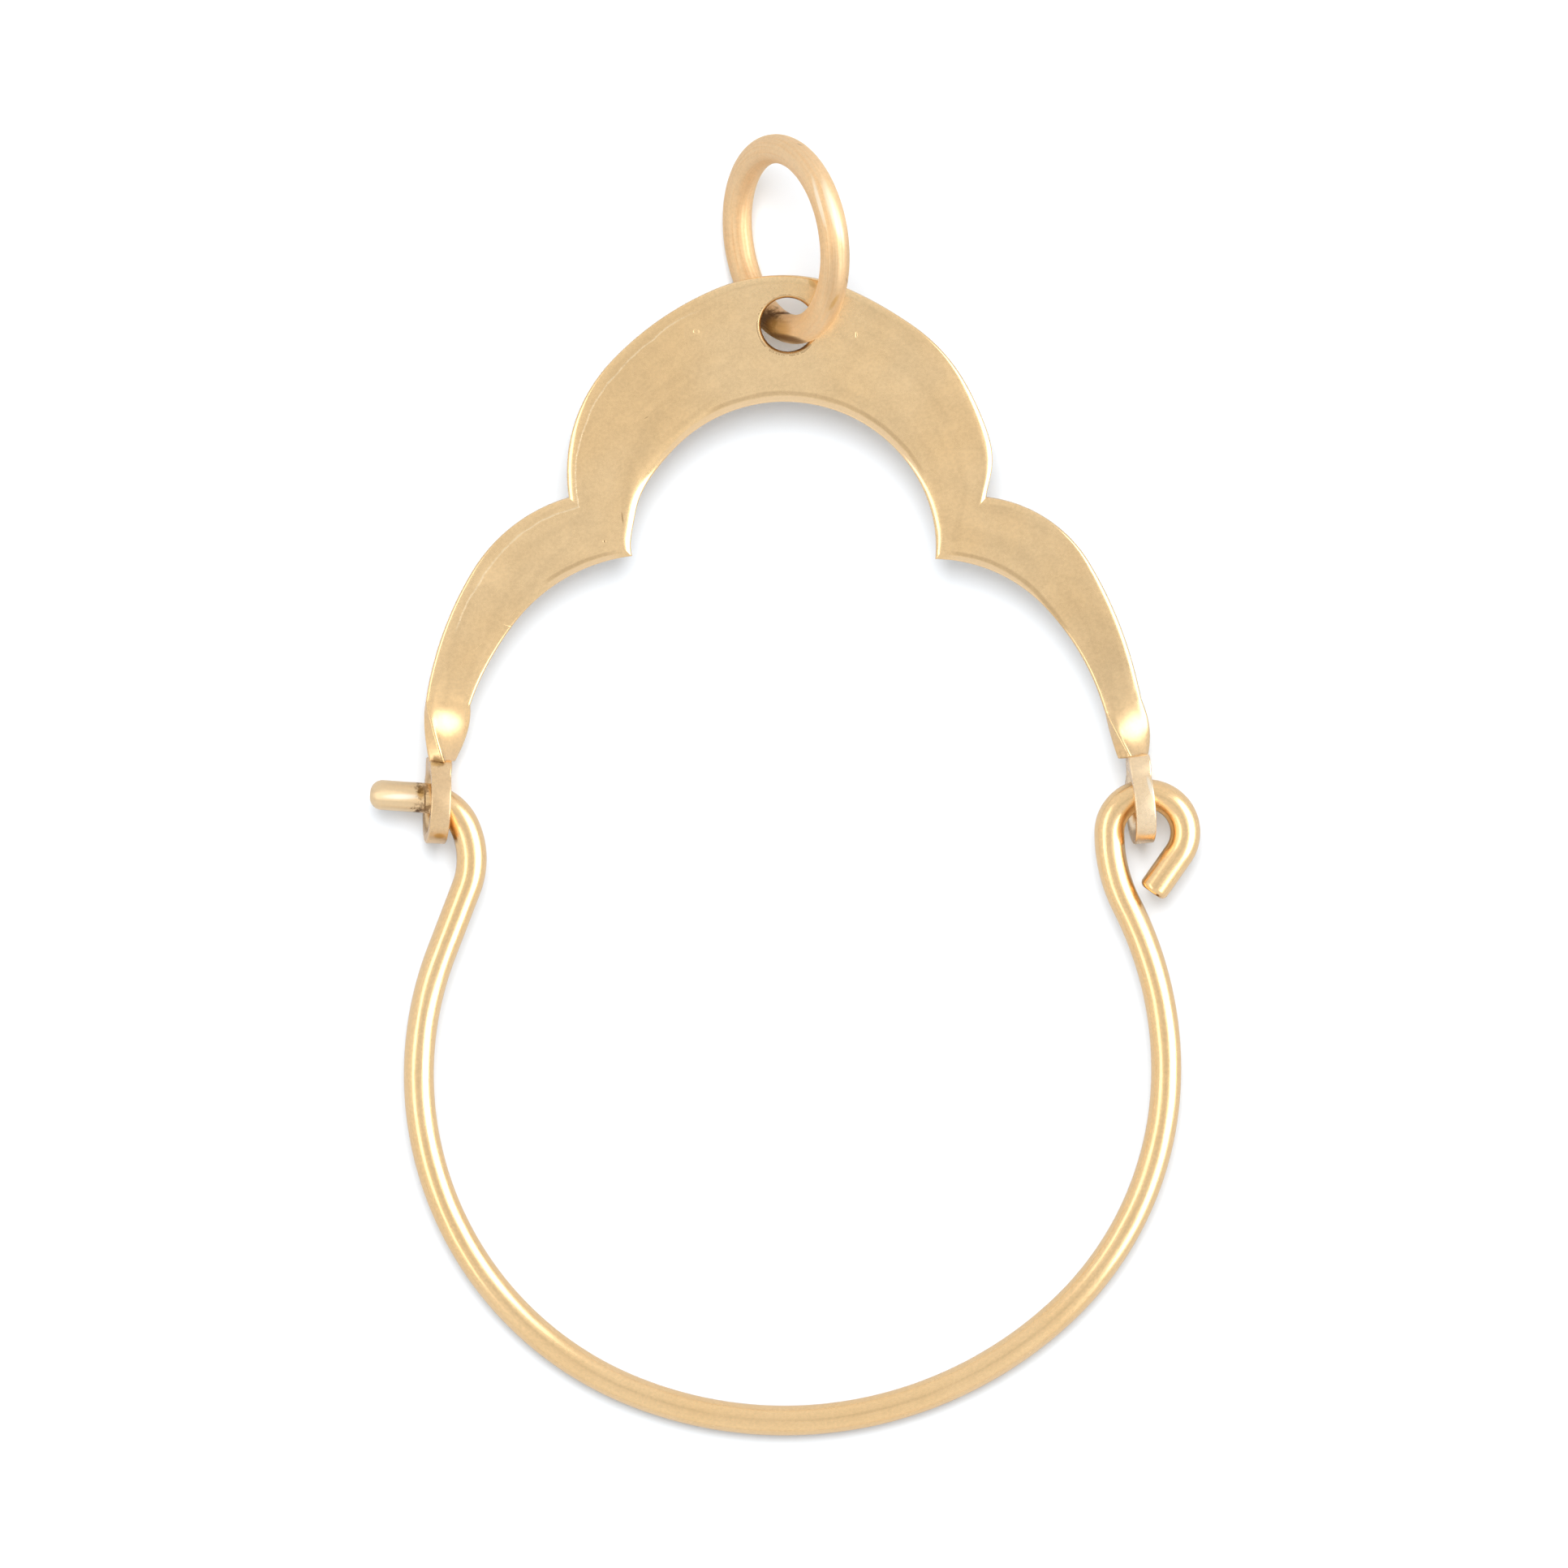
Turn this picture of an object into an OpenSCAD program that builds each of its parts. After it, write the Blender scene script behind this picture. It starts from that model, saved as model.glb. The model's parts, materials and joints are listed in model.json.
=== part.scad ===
// Charm holder: a scalloped sheet plate with a jump ring at its top and a sprung wire bow
// that swings in two eyelets, lying face up on a surface.
// +X is the holder's right, +Y runs up to the jump ring, +Z is up from the surface.
// The plate's own drawing has its zero on the line through the two eyelets' holes.

/* [Sheet] */
// Thickness of the gold sheet
sheet_t = 0.6; // [0.55:0.01:0.62]
// Height of the plate's top edge above the eyelets' line
plate_top = 18.06; // [18:0.02:18.1]
// Height of the inner arch's top above the eyelets' line
arch_top = 13.73; // [13.6:0.01:13.8]

/* [Ring hole] */
// Diameter of the hole that the jump ring passes through
ring_hole_d = 1.84; // [1.8:0.02:1.9]
// Distance of that hole from the middle line
ring_hole_x = 0.11; // [0.09:0.01:0.13]
// Height of that hole above the eyelets' line
ring_hole_y = 16.37; // [16.35:0.01:16.4]
// Rounding of that hole's rim
ring_hole_round = 0.12; // [0.05:0.01:0.15]

/* [Arm twists] */
// Turn of the left arm's end about its own length
left_twist = 84; // [75:1:90]
// Turn of the right arm's end about its own length
right_twist = 70; // [60:1:90]
// Slope of the left arm's end line across the arm
left_end_slope = -4.6; // [-8:0.2:0]
// Slope of the right arm's end line across the arm
right_end_slope = 21.4; // [14:0.2:22]

/* [Eyelets] */
// Outer diameter of an eyelet
eyelet_d = 2.82; // [2.7:0.02:2.9]
// Diameter of an eyelet's hole
eyelet_hole_d = 1.76; // [1.76:0.01:1.84]
// Rounding of an eyelet's edges
eyelet_round = 0.2; // [0.18:0.01:0.22]
// Turn of an eyelet out of the plate's plane
eyelet_turn = 95; // [90:1:95]
// Place of the left eyelet's middle
left_eyelet_x = -11.92; // [-12.1:0.01:-11.92]
// Place of the right eyelet's middle
right_eyelet_x = 12.17; // [12.17:0.01:12.25]
// Lean of the left eyelet, its foot outwards
left_lean = 4; // [2:0.5:5]
// Lean of the right eyelet, its foot outwards
right_lean = 5; // [3:0.5:6]
// Width of the neck that joins an eyelet to its arm
neck_w = 1.2; // [1:0.05:1.3]

/* [Jump ring] */
// Diameter of the jump ring's wire
ring_wire_d = 1.0; // [0.9:0.02:1.04]
// Radius of the jump ring to the middle of its wire
ring_r = 3.11; // [3.05:0.01:3.15]
// Angle between the ring's plane and the plate
ring_turn = 58.4; // [57:0.2:60]
// Lean of the ring, its top to the left
ring_lean = 7.7; // [7:0.1:8.4]

/* [Bow] */
// Diameter of the bow's wire
wire_d = 1.03; // [0.95:0.01:1.04]
// Distance from the eyelets' line down to the middle of the bow's lowest wire
bow_drop = 21.12; // [21.1:0.01:21.14]
// Length of the straight stub outside its eyelet
stub_len = 1.85; // [1.6:0.05:2.2]
// Chamfer round the tip of the straight stub
stub_chamfer = 0.22; // [0.1:0.02:0.3]
// Length of the hook's straight end
hook_len = 1.6; // [1.4:0.05:1.8]
// Chamfer round the cut end of the hook
hook_chamfer = 0.06; // [0.02:0.01:0.1]

/* [Hidden] */
$fn = 64;

// Outlines and wire routes are rows of [radius, sweep]: an arc of that radius and sweep in degrees.
// A radius of zero is a sharp corner, and a sweep of zero is a straight as long as the first number.
// The plate's edges start at the middle line and bend downwards, and their corners turn outwards.
LEFT_OUTER = [[6.1, 23], [10.5, 24], [5.5, 52], [0, -83], [5.7, 43], [12, 22], [5.1, 5]];
RIGHT_OUTER = [[5.3, 24], [13.5, 11], [6, 64], [0, -93], [4.7, 53], [14, 16], [21, 4]];
LEFT_INNER = [[5.2, 45], [8, 15], [2.7, 46], [0, -99], [6, 46], [10.5, 12], [8, 9]];
RIGHT_INNER = [[5.3, 24], [5.2, 37], [4.7, 34], [0, -94], [5.3, 45], [8.5, 25], [26, 2]];
// The bow starts at its lowest point, and a positive sweep bends it to its own left.
BOW_LEFT = [[13.8, -23], [11.7, -88], [2.3, 0], [2.75, 45], [1.65, 62], [stub_len, 0]];
BOW_RIGHT = [[13.9, 43], [11.3, 44], [12.2, 30], [5.55, -27], [1.3, -215], [hook_len, 0]];

outline_step = 4;   // degrees of arc for each edge of the plate's outline
profile_steps = 5;  // edges in the quarter round of a rim
twist_steps = 14;   // sections along an arm's twist
twist_ease = 1.15;  // above 1 the twist starts gently
sink = 0.2;         // how far a twist's first section lies inside its arm
inside = 0.985;     // that section's size against the arm's
settle_turns = 8;   // rounds in which the plate's resting tilt settles
nothing = 0.01;     // makes a cut run past a face, and parts two stretches of wire
collar_t = 0.06;    // length of the collar that joins two stretches of wire
collar_rise = 0.003; // how far it stands out of the wire

// The walk along a row: [x, y, heading] after it, and the points on it.
function after_row(at, row) =
    row[0] == 0 ? [at.x, at.y, at.z + row[1]] :
    row[1] == 0 ? [at.x + row[0] * cos(at.z), at.y + row[0] * sin(at.z), at.z] :
    let (side = sign(row[1]), end = at.z + row[1])
    [at.x + side * row[0] * (sin(end) - sin(at.z)),
     at.y - side * row[0] * (cos(end) - cos(at.z)), end];
function row_points(at, row) =
    row[0] == 0 ? [] :
    let (steps = max(1, ceil(abs(row[1]) / outline_step)))
    [for (k = [1 : steps]) let (p = after_row(at, [row[0], row[1] * k / steps])) [p.x, p.y]];
function walk(rows, at, i = 0) =
    i == len(rows) ? [] : concat(row_points(at, rows[i]), walk(rows, after_row(at, rows[i]), i + 1));
function walk_end(rows, at, i = 0) =
    i == len(rows) ? at : walk_end(rows, after_row(at, rows[i]), i + 1);
// One edge of the plate, on the side of x = -1 or +1, drawn from the middle line.
function edge(rows, top, side) =
    [for (p = walk([for (r = rows) [r[0], -r[1]]], [0, top, 0])) [side * p.x, p.y]];
function reversed(list) = [for (i = [len(list) - 1 : -1 : 0]) list[i]];
function last(list) = list[len(list) - 1];

left_outer = edge(LEFT_OUTER, plate_top, -1);
right_outer = edge(RIGHT_OUTER, plate_top, 1);
left_inner = edge(LEFT_INNER, arch_top, -1);
right_inner = edge(RIGHT_INNER, arch_top, 1);

// How the holder rests: on both eyelets and the jump ring, with the bow's foot on the surface too.
half_t = sheet_t / 2;
wire_r = wire_d / 2;
eyelet_r = eyelet_d / 2;
eyelet_n = cos(eyelet_turn);
hinge_h = (eyelet_r - eyelet_round) * sqrt(1 - eyelet_n * eyelet_n)
    + (half_t - eyelet_round) * abs(eyelet_n) + eyelet_round;
ring_at = [0.05, 19.31, 0.57]; // middle of the jump ring on the plate's drawing
ring_normal = [-sin(ring_turn) * cos(ring_lean), -sin(ring_turn) * sin(ring_lean), cos(ring_turn)];
function tilted(v, a) = [v.x, v.y * cos(a) - v.z * sin(a), v.y * sin(a) + v.z * cos(a)];
function ring_reach(n) = ring_r * sqrt(1 - n * n) + ring_wire_d / 2;
function plate_lift(a = 0, turns = settle_turns) = turns == 0 ? a :
    plate_lift(asin((ring_reach(tilted(ring_normal, a).z) - hinge_h - ring_at.z * cos(a)) / ring_at.y),
               turns - 1);
plate_tilt = plate_lift();
bow_tilt = asin((hinge_h - wire_r - collar_rise) / bow_drop);

// The box that the resting holder fills, so that its foot's middle is the origin.
bow_start = [0, -bow_drop];
left_end = walk_end(BOW_LEFT, [bow_start.x, bow_start.y, 180]);
right_route = walk(BOW_RIGHT, [bow_start.x, bow_start.y, 0]);
x_low = left_end.x - (wire_r - stub_chamfer) * abs(sin(left_end.z));
x_high = max([for (p = right_route) p.x]) + wire_r;
y_low = -bow_drop * cos(bow_tilt) - wire_r;
y_high = tilted(ring_at, plate_tilt).y + ring_reach(tilted(ring_normal, plate_tilt).y);
home = [-(x_low + x_high) / 2, -(y_low + y_high) / 2, hinge_h];

// A quarter round of radius r about [x, y], from angle a to angle b.
function quarter(x, y, r, a, b) =
    [for (k = [0 : profile_steps]) let (t = a + (b - a) * k / profile_steps)
        [x + r * cos(t), y + r * sin(t)]];

// A disc with rounded edges, its middle plane at z = 0.
module rounded_disc(r, t, e) {
    h = t / 2;
    rotate_extrude()
        polygon(concat([[0, -h]], quarter(r - e, e - h, e, -90, 0), quarter(r - e, h - e, e, 0, 90),
                       [[0, h]]));
}

// What a hole with rounded rims takes out of a sheet.
module hole_cut(r, t, e) {
    h = t / 2;
    rotate_extrude()
        polygon(concat([[0, -h - nothing], [r + e, -h - nothing]], quarter(r + e, e - h, e, 270, 180),
                       quarter(r + e, h - e, e, 180, 90), [[r + e, h + nothing], [0, h + nothing]]));
}

// The flat scalloped sheet with its ring hole.
module flat_sheet() {
    difference() {
        linear_extrude(sheet_t, center = true)
            polygon(concat([[0, plate_top]], right_outer, reversed(right_inner), [[0, arch_top]],
                           left_inner, reversed(left_outer)));
        translate([ring_hole_x, ring_hole_y, 0])
            hole_cut(ring_hole_d / 2, sheet_t, ring_hole_round);
    }
}

// A point on the plate's drawing plane at distance d from p along angle a.
function along(p, d, a) = p + d * [cos(a), sin(a)];
// The four corners of a section of the twisted band: its middle, its slope across the arm,
// its turn about the arm's length, its width and its thickness.
function band_section(mid, slope, turn, w, t) =
    let (u = [cos(slope), sin(slope), 0], z = [0, 0, 1],
         across = cos(turn) * u - sin(turn) * z, through = sin(turn) * u + cos(turn) * z,
         m = [mid.x, mid.y, 0])
    [for (c = [[-1, -1], [1, -1], [1, 1], [-1, 1]]) m + c.x * w / 2 * across + c.y * t / 2 * through];
function mix(a, b, s) = a + (b - a) * s;

// The quarter twist from an arm's end to its eyelet's neck, as sections joined by triangles.
module twist(start, stop, slope_a, slope_b, turn, w) {
    first = band_section(along(start, sink, slope_a + 90), slope_a, 0, w * inside, sheet_t * inside);
    sections = [for (k = [0 : twist_steps]) let (s = k / twist_steps)
        band_section(mix(start, stop, s), mix(slope_a, slope_b, s), turn * pow(s, twist_ease),
                     w, sheet_t * inside)];
    all = concat([first], sections);
    n = len(all) - 1;
    sides = [for (k = [0 : n - 1], c = [0 : 3]) let (a = 4 * k + c, b = 4 * k + (c + 1) % 4)
        each [[a, a + 4, b + 4], [a, b + 4, b]]];
    ends = [[0, 1, 2, 3], [4 * n + 3, 4 * n + 2, 4 * n + 1, 4 * n]];
    polyhedron([for (s = all) each s], concat(ends, sides));
}

// An eyelet with its neck, turned out of the plate's plane.
module eyelet(x, lean, neck_top) {
    translate([x, 0, 0])
        rotate([0, 0, lean])
            rotate([0, eyelet_turn, 0])
                difference() {
                    union() {
                        rounded_disc(eyelet_r, sheet_t, eyelet_round);
                        translate([-neck_w / 2, eyelet_hole_d / 2 + eyelet_round, -half_t * inside])
                            cube([neck_w, neck_top - eyelet_hole_d / 2 - eyelet_round,
                                  sheet_t * inside]);
                    }
                    hole_cut(eyelet_hole_d / 2, sheet_t, eyelet_round);
                }
}

// An arm's end: its twist, and the eyelet whose neck is soldered into the twist.
module arm_end(outer, inner, slope, turn, x, lean) {
    start = (outer + inner) / 2;
    neck_top = eyelet_r + eyelet_round / 2;
    stop = along([x, 0], neck_top - eyelet_round, 90 + lean);
    twist(start, stop, slope, lean, turn, norm(outer - inner) * inside);
    eyelet(x, lean, neck_top);
}

module scalloped_plate() {
    color([0.87, 0.75, 0.55])
        translate(home)
            rotate([plate_tilt, 0, 0]) {
                flat_sheet();
                arm_end(last(left_outer), last(left_inner), left_end_slope, left_twist,
                        left_eyelet_x, -left_lean);
                arm_end(last(right_outer), last(right_inner), right_end_slope, right_twist,
                        right_eyelet_x, right_lean);
            }
}

module jump_ring() {
    color([0.9, 0.78, 0.6])
        translate(home)
            rotate([plate_tilt, 0, 0])
                translate(ring_at)
                    rotate([0, 0, ring_lean])
                        rotate([0, -ring_turn, 0])
                            rotate_extrude()
                                translate([ring_r, 0])
                                    circle(d = ring_wire_d);
}

// One bend of the bow's wire, starting at zero along +X and a hair short of its row at both ends.
module wire_bend(r, sweep) {
    side = sign(sweep);
    hair = nothing * 180 / (PI * r);
    translate([0, side * r, 0])
        rotate([0, 0, side > 0 ? hair - 90 : 90 + hair + sweep])
            rotate_extrude(angle = abs(sweep) - 2 * hair)
                translate([r, 0])
                    circle(d = wire_d);
}

// A straight of the bow's wire along +X, with a chamfer where it ends free.
module wire_straight(length, chamfer) {
    end = chamfer > 0 ? length : length - nothing;
    rotate([0, 90, 0])
        rotate_extrude()
            polygon([[0, nothing], [wire_r, nothing], [wire_r, end - chamfer],
                     [wire_r - chamfer, end], [0, end]]);
}

// The stretches of one half of the bow, each where the last one ends, with a collar at its start.
module wire_run(rows, at, chamfer) {
    for (i = [0 : len(rows) - 1])
        let (p = walk_end([for (k = [0 : 1 : i - 1]) rows[k]], at))
            translate([p.x, p.y, 0])
                rotate([0, 0, p.z]) {
                    rotate([0, 90, 0])
                        cylinder(h = collar_t, r = wire_r + collar_rise, center = true);
                    if (rows[i][1] == 0)
                        wire_straight(rows[i][0], i == len(rows) - 1 ? chamfer : 0);
                    else
                        wire_bend(rows[i][0], rows[i][1]);
                }
}

module bow_wire() {
    color([0.9, 0.76, 0.5])
        translate(home)
            rotate([bow_tilt, 0, 0]) {
                wire_run(BOW_LEFT, [bow_start.x, bow_start.y, 180], stub_chamfer);
                wire_run(BOW_RIGHT, [bow_start.x, bow_start.y, 0], hook_chamfer);
            }
}

scalloped_plate();
jump_ring();
bow_wire();
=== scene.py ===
# %% [markdown]
# # A gold charm holder, dressed for its picture
# The holder is a scalloped piece of gold sheet with a jump ring at its top and a sprung wire bow
# below, which swings in two small eyelets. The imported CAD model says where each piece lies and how
# the bow turns. Here each piece is made again as a fine surface with a worn gold finish, and it
# replaces its CAD node.

# %% Load the frame
import json
import math
from functools import partial

import bmesh
import bpy
import numpy as np
from mathutils import Matrix


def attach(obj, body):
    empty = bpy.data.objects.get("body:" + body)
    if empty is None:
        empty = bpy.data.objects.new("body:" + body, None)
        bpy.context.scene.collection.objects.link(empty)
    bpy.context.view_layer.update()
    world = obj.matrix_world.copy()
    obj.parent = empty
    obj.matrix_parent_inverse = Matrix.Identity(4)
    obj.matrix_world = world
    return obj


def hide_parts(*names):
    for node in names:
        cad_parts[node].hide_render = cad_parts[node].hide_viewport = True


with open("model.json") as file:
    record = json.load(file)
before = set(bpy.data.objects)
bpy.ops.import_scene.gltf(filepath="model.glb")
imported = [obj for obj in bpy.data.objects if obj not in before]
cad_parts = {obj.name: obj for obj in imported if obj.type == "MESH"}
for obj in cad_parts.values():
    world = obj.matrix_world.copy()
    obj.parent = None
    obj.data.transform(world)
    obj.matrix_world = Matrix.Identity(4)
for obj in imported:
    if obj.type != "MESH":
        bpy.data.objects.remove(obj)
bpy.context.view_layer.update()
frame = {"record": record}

MM = 0.001

# %% [markdown]
# ## Where the pieces lie
# The holder's own drawing is in millimetres with its zero on the hinge line, midway between the
# eyelets. Lying on a table, the plate leans on its eyelets and its jump ring, and the bow on the
# hinge and its lowest wire, so each turns a little about the hinge. Shapes are easier to work out
# on the drawing, so they are turned at the end.

# %% From the drawing to the table
HINGE = np.array(frame["record"]["behaviour"]["joints"][0]["pos_m"]) / MM
TILT = {"holder": math.radians(3.506), "bow": math.radians(2.432)}
TURNING = {"x": (1, 2), "y": (2, 0), "z": (0, 1)}


def turned(points, axis, angle):
    """Points turned about an axis. Of the other coordinates p and q, in the order of TURNING, p
    becomes p times cosine less q times sine, and q becomes p times sine plus q times cosine."""
    i, j = TURNING[axis]
    turn = np.eye(3)
    turn[i, i] = turn[j, j] = math.cos(angle)
    turn[j, i] = math.sin(angle)
    turn[i, j] = -turn[j, i]
    return points @ turn.T


def on_table(points, body):
    """Drawing points as metres on the table: tilted about the hinge line, then moved with it."""
    return (turned(np.asarray(points, float), "x", TILT[body]) + HINGE) * MM


print("hinge in mm:", HINGE.round(3))

# %% [markdown]
# ## Surfaces from arrays
# Every piece is a grid of points worked out at once with numpy, with four-sided faces that join
# neighbours. Each row is a loop, and on a ring the last row joins the first. Rows that shrink to a
# point close an end, and merging doubled points leaves a sealed skin.

# %% Grid helpers
def grid_faces(grid, closed=False):
    """Corner numbers of each face of a grid of points: one face per step in each direction. The
    columns wrap round, and on a closed ring the rows too."""
    rows, cols = grid.shape[:2]
    i = np.arange(rows if closed else rows - 1)[:, None]
    j = np.arange(cols)[None, :]
    i2, j2 = (i + 1) % rows, (j + 1) % cols
    return np.stack([i * cols + j, i2 * cols + j, i2 * cols + j2, i * cols + j2], -1).reshape(-1, 4)


def full_turn(count):
    """Even angles round a circle in radians."""
    return np.linspace(0, 2 * math.pi, count, endpoint=False)


def make_piece(name, points, faces, node, grain=None, body="holder"):
    """Makes a mesh of drawing points, laid on the table, and faces, merges doubles and sets the
    normals outwards. The grain is a vector for each point, which materials read."""
    mesh = bpy.data.meshes.new(name)
    mesh.from_pydata(on_table(points, body).reshape(-1, 3), [], faces)
    if grain is not None:
        layer = mesh.attributes.new("grain", "FLOAT_VECTOR", "POINT")
        layer.data.foreach_set("vector", grain.reshape(-1).astype(np.float32))
    work = bmesh.new()
    work.from_mesh(mesh)
    bmesh.ops.remove_doubles(work, verts=work.verts, dist=1e-7)
    bmesh.ops.dissolve_degenerate(work, edges=work.edges, dist=1e-8)
    bmesh.ops.recalc_face_normals(work, faces=work.faces)
    open_edges = sum(not e.is_manifold for e in work.edges)
    work.to_mesh(mesh)
    work.free()
    mesh.polygons.foreach_set("use_smooth", np.ones(len(mesh.polygons), bool))
    piece = bpy.data.objects.new(name, mesh)
    bpy.context.scene.collection.objects.link(piece)
    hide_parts(node)
    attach(piece, body)
    print(name, "faces", len(mesh.polygons), "open edges", open_edges)
    return piece


# %% [markdown]
# ## Outlines as walks
# A wire bender or a die cutter works in arcs, so the outlines are rows of [radius, sweep]: walk on,
# turning left by sweep degrees on that radius. A radius of zero is a sharp corner, and a sweep of
# zero is a straight of that length. The CAD model walks nearly the same rows, but its arms go on
# for longer, and a few of the bow's lengths differ by under 0.2 millimetres.

# %% Walks
WALK_STEP = 0.02


def walk(rows, start, heading):
    """Points [x, y, heading] along arcs: on an arc of radius r the heading grows with the length
    over r, and the place is the arc's middle plus r towards the heading turned right."""
    out = [np.array([[start[0], start[1], heading]])]
    for radius, sweep in rows:
        x, y, h = out[-1][-1]
        if radius == 0:
            out.append(np.array([[x, y, h + sweep]]))
            continue
        side = np.sign(sweep)
        length = radius if sweep == 0 else radius * math.radians(abs(sweep))
        t = np.linspace(0, 1, max(2, math.ceil(length / WALK_STEP)) + 1)[1:]
        a, b = math.radians(h), np.radians(h + sweep * t)
        if sweep:
            ahead = side * radius * (np.sin(b) - math.sin(a))
            up = -side * radius * (np.cos(b) - math.cos(a))
        else:
            ahead, up = length * t * np.cos(b), length * t * np.sin(b)
        out.append(np.stack([x + ahead, y + up, np.degrees(b)], 1))
    return np.concatenate(out)


def lengths_along(points):
    """The length from the first point to each, summed over straight steps."""
    return np.append(0, np.cumsum(np.linalg.norm(np.diff(points, axis=0), axis=1)))


def spaced(path, shares):
    """Points of the same path at these shares of its length, by linear interpolation."""
    along = lengths_along(path[:, :2])
    return np.stack([np.interp(shares * along[-1], along, column) for column in path.T], 1)


# %% [markdown]
# ## The sheet's two edges
# The plate is stamped from sheet, with a big lobe over two tapering arms. Its outer and inner edges
# each have a sharp corner on either side, where lobe and arm meet. Each edge is cut there into two
# spans, with as many points on the outer as on the inner edge, so lines across the sheet join point
# to point. Points just before and after a corner keep it crisp. In two places the lobe swells a
# little beyond its arcs, where the die was worn.

# %% Edges of the sheet
SHEET_T = 0.6
LEFT_OUTER = [[6.1, 23], [10.5, 24], [5.5, 52], [0, -83], [5.7, 43], [12, 22], [5.1, 1.5]]
RIGHT_OUTER = [[5.3, 24], [13.5, 11], [6, 64], [0, -93], [4.7, 53], [14, 16], [21, 3]]
LEFT_INNER = [[5.2, 45], [8, 15], [2.7, 46], [0, -99], [6, 46], [10.5, 12], [8, 6.8]]
RIGHT_INNER = [[5.3, 24], [5.2, 37], [4.7, 34], [0, -94], [5.3, 45], [8.5, 25], [26, 1.2]]
PLATE_TOP, ARCH_TOP = 18.06, 13.73
LOBE_POINTS, ARM_POINTS = 110, 100
CLOSE = 0.0015
lobe_shares = np.append(np.linspace(0, 1 - CLOSE, LOBE_POINTS - 1), 1)
arm_shares = np.append(CLOSE, np.linspace(0, 1, ARM_POINTS - 1)[1:])


def edge(rows, top, side):
    """One edge from the middle line outwards: its lobe span and its arm span, evenly spaced. The
    walk bends to its left, so it is mirrored about its start to bend downwards."""
    corner = [r[0] for r in rows].index(0)
    lobe = walk(rows[:corner], (0, top), 0)
    arm = walk(rows[corner:], lobe[-1][:2], lobe[-1][2])
    both = np.concatenate([spaced(lobe, lobe_shares), spaced(arm[1:], arm_shares)])
    points = both[:, :2] * [1, -1] + [0, 2 * top]
    return points * [side, 1]


left_outer, right_outer = edge(LEFT_OUTER, PLATE_TOP, -1), edge(RIGHT_OUTER, PLATE_TOP, 1)
left_inner, right_inner = edge(LEFT_INNER, ARCH_TOP, -1), edge(RIGHT_INNER, ARCH_TOP, 1)


def swell(points, amount, start, power):
    """Pushes a lobe span to the left of its direction by amount times sin squared of pi u. Here u
    is the share of the way from start to the corner, to a power that sets where the peak lies."""
    ahead = np.gradient(points[:LOBE_POINTS], axis=0)
    ahead /= np.linalg.norm(ahead, axis=1, keepdims=True)
    u = np.clip((lobe_shares - start) / (1 - start), 0, 1) ** power
    push = amount * np.sin(math.pi * u) ** 2
    points[:LOBE_POINTS] += push[:, None] * np.stack([-ahead[:, 1], ahead[:, 0]], 1)


swell(left_inner, amount=0.13, start=0.64, power=1.3)
swell(right_outer, amount=0.16, start=0.6, power=1.8)
print("outer arm ends:", left_outer[-1].round(2), right_outer[-1].round(2))

# %% [markdown]
# ## Arms that twist a quarter turn
# At each arm's end the maker turned the flat end with pliers, so that the eyelet soldered to it
# stands across the sheet. The whole band, from eyelet to eyelet, is one run of sections. Each has a
# middle, a width, a direction across the band and one through the metal, and along a twist these
# two turn together.

# %% Sections of the band
EYELET_X = {"left": -11.89, "right": 12.17}
EYELET_LEAN = {"left": -3.0, "right": 5.0}
TWIST = {"left": 76.0, "right": 62.0}
TWIST_EASE = {"left": 0.9, "right": 1.08}
BAND_END = {"left": (-11.72, 1.44), "right": (11.92, 1.6)}
BULGE = {"left": 0.02, "right": 0.06}
TWIST_POINTS = 48


def twist_sections(outer, inner, side):
    """Middle, width, across and through vectors from arm to eyelet: the middle runs nearly
    straight, and the turn about the band grows with the length to the power TWIST_EASE."""
    sign = -1 if side == "left" else 1
    s = np.linspace(0, 1, TWIST_POINTS)[1:, None]
    start, lean = (outer + inner) / 2, math.radians(EYELET_LEAN[side])
    stop = np.array(BAND_END[side])
    across = (outer - inner) * sign
    slope = math.atan2(across[1], across[0]) * (1 - s) + lean * s
    phi = math.radians(TWIST[side]) * s ** TWIST_EASE[side]
    flat = np.concatenate([np.cos(slope), np.sin(slope), 0 * s], 1)
    up = np.array([[0, 0, 1]])
    middle = np.concatenate([start + (stop - start) * s, 0 * s], 1)
    middle[:, :1] += BULGE[side] * np.sin(math.pi * s)
    width = np.linalg.norm(outer - inner) * np.ones_like(s)
    return (middle, width, sign * (np.cos(phi) * flat - np.sin(phi) * up),
            np.sin(phi) * flat + np.cos(phi) * up)


def flat_sections(outer, inner):
    """The same four things for the flat sheet, whose across vector points to the outer edge."""
    line = outer - inner
    width = np.linalg.norm(line, axis=1, keepdims=True)
    zero = np.zeros((len(line), 1))
    up = np.repeat([[0.0, 0, 1]], len(line), 0)
    middle = np.concatenate([(outer + inner) / 2, zero], 1)
    return middle, width, np.concatenate([line / width, zero], 1), up


def chain(side):
    """Sections of one half, from the middle line to the eyelet."""
    outer, inner = (left_outer, left_inner) if side == "left" else (right_outer, right_inner)
    flat, twisted = flat_sections(outer, inner), twist_sections(outer[-1], inner[-1], side)
    return [np.concatenate([a, b]) for a, b in zip(flat, twisted)]


half = {side: chain(side) for side in ("left", "right")}
sections = [np.concatenate([a[::-1], b[1:]]) for a, b in zip(half["left"], half["right"])]
middle_row = len(half["left"][0]) - 1
print("sections:", len(sections[0]), "middle one:", middle_row)

# %% [markdown]
# ## A rolled edge all round
# A stamped and tumbled blank has a shoulder. The face runs flat to about half a millimetre from
# the edge, bends down on a large radius, and turns into the side on a small one. That shoulder
# catches a window as a broad band on one side and as a thin line on the other. The punch leaves
# the back crisper, so its shoulder is smaller.

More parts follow.
